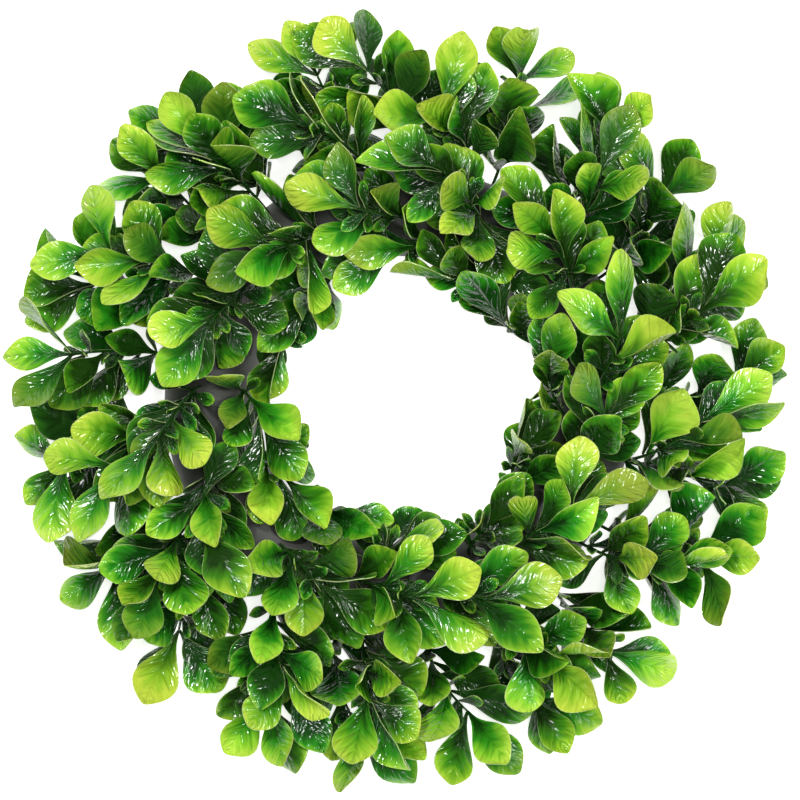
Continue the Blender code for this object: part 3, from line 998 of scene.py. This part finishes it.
@dataclass
class SprayMoulding:
    """Builds the fine mesh of one spray: a round stem and thin, waved, rounded blades."""

    thickness: float = 0.0006
    petiole: float = 0.0007
    large_grid: tuple = (4, 7)
    small_grid: tuple = (2, 4)
    stem_sides: int = 8
    stem_steps: int = 12
    tip_radius: float = 0.0007
    root_left_out: float = 0.20
    done: list = field(default_factory=list)

    def build(self, spray: Spray, material: Material) -> bpy.types.Object:
        """Builds a spray as one object.

        Args:
            spray: the stem and its leaves.
            material: the leaf plastic.

        Returns:
            The object, with a Subdivision Surface that rounds its blades.
        """
        shell = bmesh.new()
        place = shell.verts.layers.float_vector.new("leaf_place")
        tint = shell.verts.layers.float_vector.new("leaf_tint")
        crease = shell.edges.layers.float.new("crease_edge")
        self.add_stem(shell, spray, tint)
        for number, leaf in enumerate(spray.leaves):
            rng = random.Random(f"{spray.name} {number}")
            self.add_blade(shell, leaf, rng, (place, tint, crease))
        for face in shell.faces:
            face.smooth = True
        made = finish_object(spray.name.replace("spray", "foliage"), shell, material)
        rounded = made.modifiers.new("rounded", "SUBSURF")
        rounded.levels = rounded.render_levels = 1
        return made

    def stem_points(self, spray: Spray) -> list[Vector]:
        """Points on a smooth curve through the stem's own points."""
        foot, a, b, c = spray.stem
        bow = b * 2 - (a + c) / 2
        points = [foot]
        for step in range(self.stem_steps + 1):
            share = step / self.stem_steps
            points.append(a * (1 - share) ** 2 + bow * 2 * share * (1 - share) + c * share**2)
        return points

    def add_stem(self, shell: Shell, spray: Spray, tint: Layer) -> None:
        """Adds a round stem that gets thinner towards its tip, extruded ring by ring."""
        points = self.stem_points(spray)
        ahead = [(b - a).normalized() for a, b in zip(points, points[1:])]
        ahead.append(ahead[-1])
        first = bmesh.ops.create_circle(shell, cap_ends=False, segments=self.stem_sides, radius=1)["verts"]
        ring, shape = first, [v.co.copy() for v in first]
        all_rings = [ring]
        for _ in points[1:]:
            edges = [e for e in shell.edges if e.verts[0] in ring and e.verts[1] in ring]
            grown = bmesh.ops.extrude_edge_only(shell, edges=edges)["geom"]
            step = {v.co.copy().freeze(): v for v in grown if isinstance(v, bmesh.types.BMVert)}
            ring = [step[v.co.copy().freeze()] for v in ring]
            all_rings.append(ring)
        for index, (ring, point, way) in enumerate(zip(all_rings, points, ahead)):
            radius = RING.stem_radius + (self.tip_radius - RING.stem_radius) * index / (len(points) - 1)
            turn = way.to_track_quat("Z", "Y").to_matrix()
            for vert, corner in zip(ring, shape):
                vert.co = point + turn @ (corner * radius)
                vert[tint] = Vector(TINTS.stem)
        shell.faces.new(list(reversed(first)))
        shell.faces.new(all_rings[-1])

    def add_blade(self, shell: Shell, leaf: Leaf, rng: random.Random, layers: tuple) -> None:
        """Adds one blade: a grid shaped by the leaf's form, waved, given a thickness and creased at its rim.

        Args:
            shell: the spray's bmesh.
            leaf: the blade's place and form.
            rng: the blade's own source of chance.
            layers: the layers for the place on the blade, for its tint and for creased edges.
        """
        place, tint, crease = layers
        columns, rows = self.small_grid if leaf.size is Size.SMALL else self.large_grid
        verts = bmesh.ops.create_grid(shell, x_segments=columns, y_segments=rows, size=1)["verts"]
        faces = list({face for vert in verts for face in vert.link_faces})
        # the blade's tint, with its painted shade
        look = self.tint_of(leaf, rng)
        wave = self.relaxed(leaf, rng)
        for vert in verts:
            side, row = vert.co.x, (vert.co.y + 1) / 2
            vert[place] = Vector((side, row, 0.0))
            vert[tint] = look
            vert.co = self.fine_place(leaf, fine_share(row), side, wave) + leaf.face * (self.thickness / 2)
        grown = bmesh.ops.extrude_face_region(shell, geom=faces, use_keep_orig=True)["geom"]
        under = [item for item in grown if isinstance(item, bmesh.types.BMVert)]
        bmesh.ops.translate(shell, verts=under, vec=leaf.face * -self.thickness)
        for vert in under:
            vert[place] = Vector((vert[place].x, vert[place].y, 1.0))
        blade = list({face for vert in verts + under for face in vert.link_faces})
        bmesh.ops.recalc_face_normals(shell, faces=blade)
        top = set(verts)
        for edge in {edge for face in blade for edge in face.edges}:
            levels = {vert in top for vert in edge.verts}
            rim = any(len({vert in top for vert in face.verts}) == 2 for face in edge.link_faces)
            if rim and len(levels) == 1:
                edge[crease] = FORM.crease
                edge.smooth = False

    def relaxed(self, leaf: Leaf, rng: random.Random) -> tuple:
        """The wave of a blade, flattened step by step until the blade crosses no other.

        Args:
            leaf: the blade.
            rng: the blade's own source of chance.

        Returns:
            The wave's height, phase and count, and how much of its fold the blade keeps.
        """
        height, phase, count = rng.uniform(*FORM.wave_heights), rng.random(), rng.uniform(*FORM.wave_counts)
        middle = leaf.middle()
        own = leaf.length * FORM.reach
        near = [tree for other, reach, tree in self.done if (middle - other).length < own + reach]
        for keep in FORM.keeps:
            wave = (height * keep, phase, count, keep)
            probe = bmesh.new()
            columns, rows = FORM.probe_grid
            bmesh.ops.create_grid(probe, x_segments=columns, y_segments=rows, size=1)
            for vert in probe.verts:
                row = self.root_left_out + (1 - self.root_left_out) * (vert.co.y + 1) / 2
                vert.co = self.fine_place(leaf, fine_share(row), vert.co.x, wave)
            heights = [vert.co.z for vert in probe.verts]
            tree = tree_of(probe)
            level = min(heights) > self.thickness and max(heights) < RULES.highest
            if level and not any(tree.overlap(other) for other in near):
                break
        self.done.append((middle, own, tree))
        return wave

    def fine_place(self, leaf: Leaf, share: float, side: float, wave: tuple) -> Vector:
        """The point on the fine blade, which waves and folds about the coarse one's form.

        Args:
            leaf: the blade.
            share: how far along it, from 0 to 1.
            side: how far across it, from -1 to 1.
            wave: the wave's height, phase and count, and the share that the blade keeps of its fold.

        Returns:
            The point, in metres.
        """
        height, phase, count, keep = wave
        slimmed = min(1.0, (share / FORM.slim_until) ** FORM.slim_power)
        half = max(leaf.width / 2 * outline(share) * slimmed, self.petiole)
        tip = max(0.0, share - FORM.tip_from) / FORM.tip_share
        reach = share + FORM.tip_growth * tip * tip * (1 - side * side)
        folded = FORM.fold_round * side * side + FORM.fold_sharp * abs(side) - FORM.fold_drop
        fold = leaf.cup * half * (FORM.fold_level + keep * folded)
        fold += keep * FORM.tip_curl * leaf.bend * tip * tip * FORM.tip_share * leaf.length
        swing = math.sin(math.tau * (count * share + phase))
        ripple = height * leaf.length * swing * side * abs(side) * share
        rise = leaf.bend * share * share * leaf.length + fold + ripple + leaf.twist * side * half * share
        across = leaf.along.cross(leaf.face)
        return leaf.root + leaf.along * (reach * leaf.length) + across * (side * half) + leaf.face * rise

    def tint_of(self, leaf: Leaf, rng: random.Random) -> Vector:
        """How lime, how yellow and how bright a blade is: outer, upper and uncovered blades are more lime,
        and deep, covered and low ones are painted darker as shade.
        """
        middle = leaf.middle()
        out, up = math.hypot(middle.x, middle.y) - RING.middle, middle.z
        depth = math.hypot(out / (TINTS.outwards if out > 0 else TINTS.inwards), up / TINTS.upwards)
        outer = min(max((depth - TINTS.depth_from) / TINTS.depth_span, 0.0), 1.0)
        # painted shade: less lime the deeper the blade lies and the more it is covered
        tone = TINTS.least + TINTS.painted_depth_shade * outer + TINTS.painted_cover_shade * leaf.exposed
        tone += rng.gauss(0, TINTS.stray)
        # painted shade: low blades are darker still
        tone -= TINTS.painted_low_shade * leaf.low
        if leaf.size is Size.SMALL:
            tone = rng.uniform(*TINTS.small)
        return Vector((min(max(tone, 0.0), 1.0), rng.random(), rng.random()))


@dataclass
class Studio:
    """A white sweep, soft lamps and a camera that looks straight down on the wreath."""

    lamps: tuple = (
        ("key_lamp", (-0.50, 0.65, 1.6), 0.18, 16),
        ("fill_lamp", (0.80, 0.15, 1.5), 0.18, 9),
        ("low_lamp", (0.05, -0.85, 1.4), 0.18, 6),
        ("top_lamp", (0.15, 0.10, 2.2), 0.24, 8),
    )
    distance: float = 1.75
    shown_width: float = 0.4085
    shift: tuple = (0.0005, 0.0)
    floor_size: float = 6.0
    floor_gap: float = 0.0003
    aim_height: float = 0.04
    sensor_width: float = 36.0
    sky: tuple = (1.0, 1.0, 0.97, 1.0)
    sky_strength: float = 0.17

    def build(self) -> None:
        """Builds the floor, the lamps, the sky and the camera."""
        shell = bmesh.new()
        bmesh.ops.create_grid(shell, x_segments=2, y_segments=2, size=self.floor_size / 2)
        bmesh.ops.translate(shell, verts=shell.verts[:], vec=(0, 0, -self.floor_gap))
        floor = finish_object("floor", shell, StudioPaper().make())
        for lamp in self.lamps:
            self.add_lamp(*lamp)
        world = bpy.data.worlds.new("studio")
        world.use_nodes = True
        background = world.node_tree.nodes["Background"]
        background.inputs["Color"].default_value = self.sky
        background.inputs["Strength"].default_value = self.sky_strength
        bpy.context.scene.world = world
        bpy.context.scene.view_settings.view_transform = "Standard"
        self.add_camera()

    def add_lamp(self, name: str, place: tuple, size: float, power: float) -> None:
        """Adds a square soft lamp that points at the wreath, with its size in metres."""
        data = bpy.data.lights.new(name, "AREA")
        data.shape, data.size, data.energy = "SQUARE", size, power
        lamp = bpy.data.objects.new(name, data)
        lamp.location = place
        aim = Vector((0, 0, self.aim_height)) - Vector(place)
        lamp.rotation_euler = aim.to_track_quat("-Z", "Y").to_euler()
        bpy.context.scene.collection.objects.link(lamp)

    def add_camera(self) -> None:
        """Adds the camera straight above, framed as the photograph is."""
        data = bpy.data.cameras.new("camera")
        data.sensor_width = self.sensor_width
        data.lens = self.sensor_width * (self.distance - self.aim_height) / self.shown_width
        camera = bpy.data.objects.new("camera", data)
        camera.location = (*self.shift, self.distance)
        bpy.context.scene.collection.objects.link(camera)
        bpy.context.scene.camera = camera


def main() -> None:
    """Builds every piece of the wreath around the frame, then the studio."""
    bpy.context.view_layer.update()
    leaf_plastic = LeafPlastic().make()
    ring = Ring(RING).build(RingPlastic().make())
    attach(ring, "root")
    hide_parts("ring_base")
    log.info("ring: %d faces", len(ring.data.polygons))
    moulding = SprayMoulding()
    arrangement = Arrangement()
    for spray in arrangement.sprays:
        piece = moulding.build(spray, leaf_plastic)
        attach(piece, "root")
        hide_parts(spray.name)
        log.info("%s: %d leaves, %d faces", piece.name, len(spray.leaves), len(piece.data.polygons))
    Studio().build()


if __name__ == "__main__":
    main()
